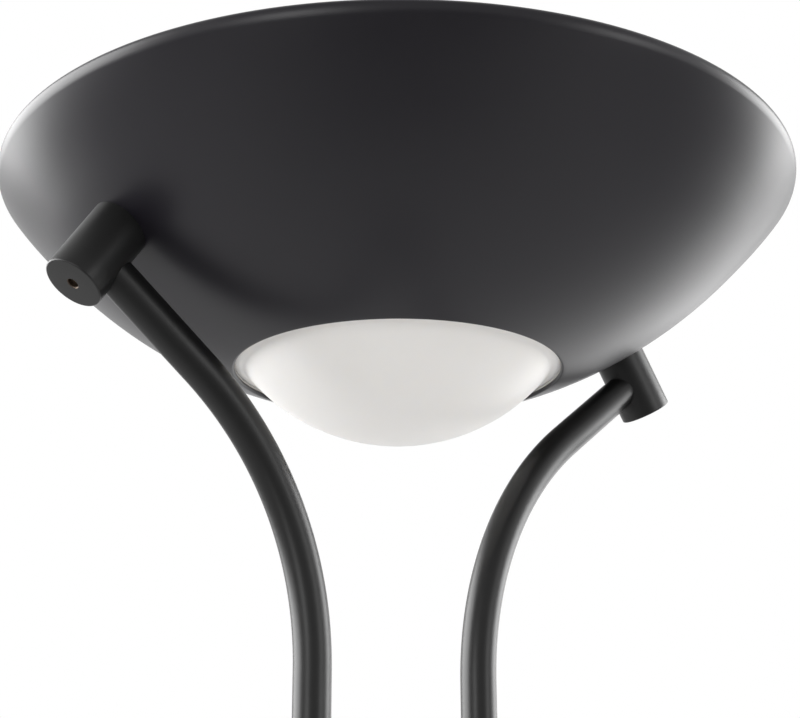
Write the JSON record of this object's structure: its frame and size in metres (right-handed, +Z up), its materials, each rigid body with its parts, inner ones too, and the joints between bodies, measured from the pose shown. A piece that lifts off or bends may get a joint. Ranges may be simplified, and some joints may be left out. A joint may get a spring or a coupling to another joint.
{
  "type": "torchiere floor lamp",
  "caption": "Floor lamp with a wide upturned bowl shade and opal bottom diffuser on two parallel tubes that bend out to it, with a round weighted base and a dimmer.",
  "frame": {"origin": "centre of the base on the floor", "axes": "+Z up along the poles to the bowl's rim, +X from the left pole to the right pole, -Y towards the side with the dimmer knob"},
  "size_m": [0.432, 0.432, 1.8],
  "materials": {
    "pad_rubber": "matte foam rubber",
    "weight_iron": "as cast, grey primer",
    "base_paint": "satin black powder coat",
    "bushing_rubber": "matte",
    "fitting_paint": "satin black powder coat",
    "tube_paint": "satin black powder coat",
    "bowl_paint": "satin black powder coat outside, white enamel inside",
    "pipe_brass": "machined",
    "zinc_steel": "zinc plated",
    "screw_steel": "yellow passivated",
    "dimmer_case": "moulded",
    "shaft_steel": "turned",
    "knob_plastic": "fine satin",
    "opal_glass": "frosted opal, satin outside",
    "gasket_silicone": "matte",
    "bracket_zinc": "zinc plated strip",
    "cluster_white": "gloss white",
    "socket_porcelain": "glazed",
    "shell_brass": "bright",
    "cap_nickel": "nickel plated",
    "tip_black": "moulded insulator",
    "bulb_plastic": "smooth white",
    "bulb_glass": "frosted",
    "wire_pvc": "smooth sheath",
    "clip_nylon": "moulded"
  },
  "bodies": {
    "lamp": {"base_pad": "pad_rubber", "base_weight": "weight_iron", "base_cover": "base_paint", "cord_bushing": "bushing_rubber", "foot_collar_left": "fitting_paint", "foot_collar_right": "fitting_paint", "foot_nipples": "pipe_brass", "foot_washers": "zinc_steel", "foot_nuts": "pipe_brass", "collar_screws": "screw_steel", "pole_lower_left": "tube_paint", "pole_lower_right": "tube_paint", "pole_middle_left": "tube_paint", "pole_middle_right": "tube_paint", "pole_inserts": "zinc_steel", "pole_nipples": "pipe_brass", "arm_left": "tube_paint", "arm_right": "tube_paint", "bridge_tube": "fitting_paint", "bridge_plug_left": "fitting_paint", "bridge_plug_right": "fitting_paint", "bridge_screws": "screw_steel", "dimmer_body": "dimmer_case", "dimmer_nut": "zinc_steel", "barrel_left": "fitting_paint", "barrel_right": "fitting_paint", "barrel_screws": "screw_steel", "bowl_nipples": "pipe_brass", "saddle_washers": "zinc_steel", "bowl_nuts": "pipe_brass", "bowl_shade": "bowl_paint", "diffuser_dome": "opal_glass", "diffuser_gasket": "gasket_silicone", "lamp_bracket": "bracket_zinc", "cluster_body": "cluster_white", "cluster_lid": "cluster_white", "cluster_stem": "pipe_brass", "cluster_nuts": "pipe_brass", "socket_nipples": "pipe_brass", "socket_front": "socket_porcelain", "socket_rear": "socket_porcelain", "screw_shell_front": "shell_brass", "screw_shell_rear": "shell_brass", "socket_contacts": "shell_brass", "bulb_cap_front": "cap_nickel", "bulb_cap_rear": "cap_nickel", "bulb_tips": "tip_black", "bulb_body_front": "bulb_plastic", "bulb_body_rear": "bulb_plastic", "bulb_globe_front": "bulb_glass", "bulb_globe_rear": "bulb_glass", "lower_wire": "wire_pvc", "upper_wire": "wire_pvc", "wire_clip": "clip_nylon"},
    "knob": {"dimmer_knob": "knob_plastic", "dimmer_shaft": "shaft_steel"}
  },
  "joints": [
    {"name": "dimmer_turn", "type": "hinge", "parent": "lamp", "child": "knob", "pos_m": [0, -0.02, 1.06], "axis": [0, 1, 0], "range_deg": [0, 300]}
  ]
}
